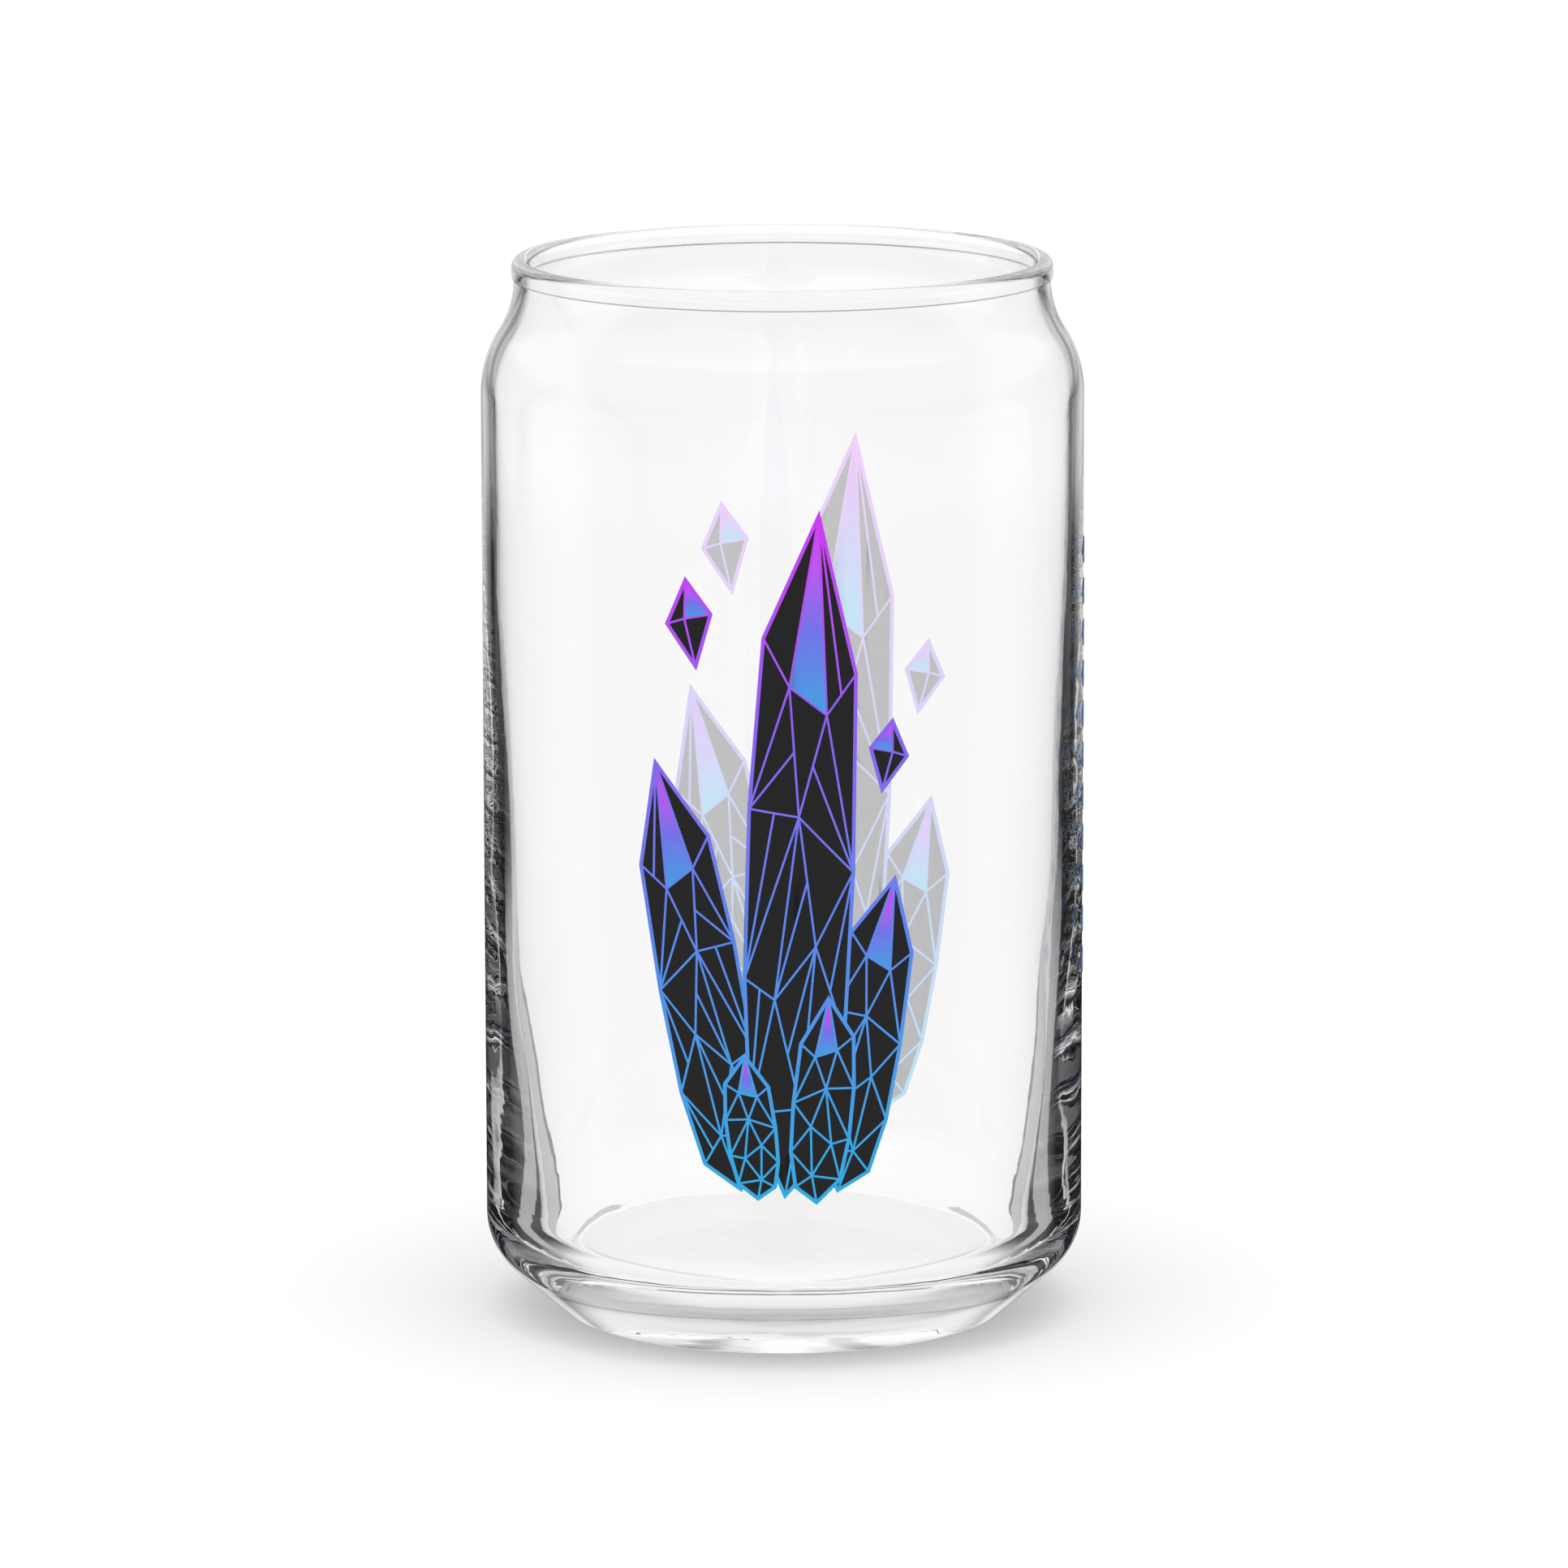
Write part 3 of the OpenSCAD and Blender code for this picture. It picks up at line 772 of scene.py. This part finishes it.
def disc(name, radius, count=96):
    """A flat disc on the ground: a fan of triangles round the origin."""
    t = np.arange(count) * 2 * np.pi / count
    rim = np.stack([radius * np.cos(t), radius * np.sin(t), np.zeros(count)], axis=1)
    points = np.concatenate([rim, [[0, 0, 0]]])
    a = np.arange(count)
    faces = np.stack([a, (a + 1) % count, np.full(count, count)], axis=1)
    mesh = bpy.data.meshes.new(name)
    mesh.from_pydata(points.tolist(), [], faces.tolist())
    made = bpy.data.objects.new(name, mesh)
    bpy.context.scene.collection.objects.link(made)
    return made


table = disc("table", TABLE_R)
table.data.materials.append(white_table())
table.visible_transmission = False
table.visible_glossy = False

LAMP_SIZE, LAMP_WATTS, LAMP_HEIGHT = 0.9, 2.2, 1.1
lamp_data = bpy.data.lights.new("overhead", "AREA")
lamp_data.shape, lamp_data.size, lamp_data.energy = "DISK", LAMP_SIZE, LAMP_WATTS
lamp = bpy.data.objects.new("overhead", lamp_data)
lamp.location = (0, 0, LAMP_HEIGHT)
lamp.visible_camera = False
lamp.visible_transmission = False
lamp.visible_glossy = False
bpy.context.scene.collection.objects.link(lamp)
print("table and lamp in place")


# %% [markdown]
# ## The camera
# The photograph was taken with a long lens from a little above the glass. Its distance, height
# and tilt come from fitting the ellipses of the rim and the base. Light in the thick wall is
# mirrored dozens of times before it leaves at the lip, so the render follows it that far.

# %% The camera
CAMERA_PLACE = (0.0001, -1.1275, 0.2781)
CAMERA_PITCH, CAMERA_ROLL = np.radians(10.63), np.radians(-0.11)
FOCAL_PIXELS, PHOTO_PIXELS, SENSOR = 11286, 1932, 36.0

camera_data = bpy.data.cameras.new("camera")
camera_data.sensor_width = SENSOR
camera_data.lens = FOCAL_PIXELS * SENSOR / PHOTO_PIXELS
camera_data.clip_start, camera_data.clip_end = 0.01, 50
camera = bpy.data.objects.new("camera", camera_data)
camera.rotation_mode = "ZXY"
camera.location = CAMERA_PLACE
camera.rotation_euler = (QUARTER - CAMERA_PITCH, 0, CAMERA_ROLL)
bpy.context.scene.collection.objects.link(camera)
bpy.context.scene.camera = camera

BOUNCES = 64
scene = bpy.context.scene
scene.view_settings.view_transform = "Standard"
scene.cycles.max_bounces = BOUNCES
scene.cycles.transmission_bounces = BOUNCES
scene.cycles.glossy_bounces = BOUNCES
print(f"camera: {camera_data.lens:.0f} mm lens")
